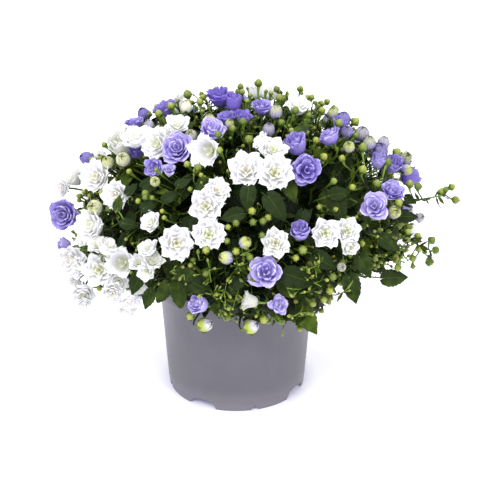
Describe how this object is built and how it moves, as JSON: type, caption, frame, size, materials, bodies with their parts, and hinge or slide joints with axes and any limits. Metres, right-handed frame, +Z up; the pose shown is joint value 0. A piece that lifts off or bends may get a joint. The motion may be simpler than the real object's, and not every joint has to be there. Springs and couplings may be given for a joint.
{
  "type": "potted bellflower",
  "caption": "Potted plant: double bellflowers in white and violet over a dome of toothed heart-shaped leaves, in a tapered round nursery pot with an arched foot.",
  "frame": {"origin": "centre of the flat pad under the pot, on the ground", "axes": "+Z up; the pictured side faces -Y; +X to its right"},
  "size_m": [0.3258, 0.2571, 0.2568],
  "materials": {
    "pot_plastic": "satin, finely grained recycled plastic",
    "soil": "rough potting soil",
    "foliage": "green leaves, stalks and buds",
    "white_petal": "thin white petals",
    "violet_petal": "thin violet-blue petals"
  },
  "bodies": {
    "root": {"foliage": "foliage", "pot": "pot_plastic", "soil": "soil", "violet_bloom_03": "violet_petal", "violet_bloom_04": "violet_petal", "violet_bloom_05": "violet_petal", "violet_bloom_06": "violet_petal", "violet_bloom_07": "violet_petal", "violet_bloom_08": "violet_petal", "violet_bloom_09": "violet_petal", "violet_bloom_10": "violet_petal", "violet_bloom_11": "violet_petal", "violet_bloom_12": "violet_petal", "violet_bloom_13": "violet_petal", "violet_bloom_14": "violet_petal", "violet_bloom_15": "violet_petal", "violet_bloom_16": "violet_petal", "violet_bloom_17": "violet_petal", "violet_bloom_18": "violet_petal", "violet_bloom_19": "violet_petal", "violet_bloom_20": "violet_petal", "violet_blooms_01": "violet_petal", "violet_far_blooms_01": "violet_petal", "violet_far_blooms_03": "violet_petal", "violet_far_blooms_04": "violet_petal", "violet_far_blooms_07": "violet_petal", "violet_far_blooms_09": "violet_petal", "violet_far_blooms_10": "violet_petal", "violet_far_blooms_12": "violet_petal", "violet_far_blooms_13": "violet_petal", "white_bloom_05": "white_petal", "white_bloom_09": "white_petal", "white_bloom_10": "white_petal", "white_bloom_11": "white_petal", "white_bloom_12": "white_petal", "white_bloom_13": "white_petal", "white_bloom_19": "white_petal", "white_bloom_22": "white_petal", "white_bloom_27": "white_petal", "white_bloom_28": "white_petal", "white_bloom_29": "white_petal", "white_bloom_33": "white_petal", "white_bloom_34": "white_petal", "white_bloom_35": "white_petal", "white_bloom_36": "white_petal", "white_blooms_01": "white_petal", "white_blooms_06": "white_petal", "white_blooms_14": "white_petal", "white_blooms_16": "white_petal", "white_blooms_20": "white_petal", "white_blooms_23": "white_petal", "white_blooms_25": "white_petal", "white_blooms_30": "white_petal", "white_far_blooms_02": "white_petal", "white_far_blooms_05": "white_petal", "white_far_blooms_06": "white_petal", "white_far_blooms_08": "white_petal", "white_far_blooms_11": "white_petal"}
  },
  "joints": []
}
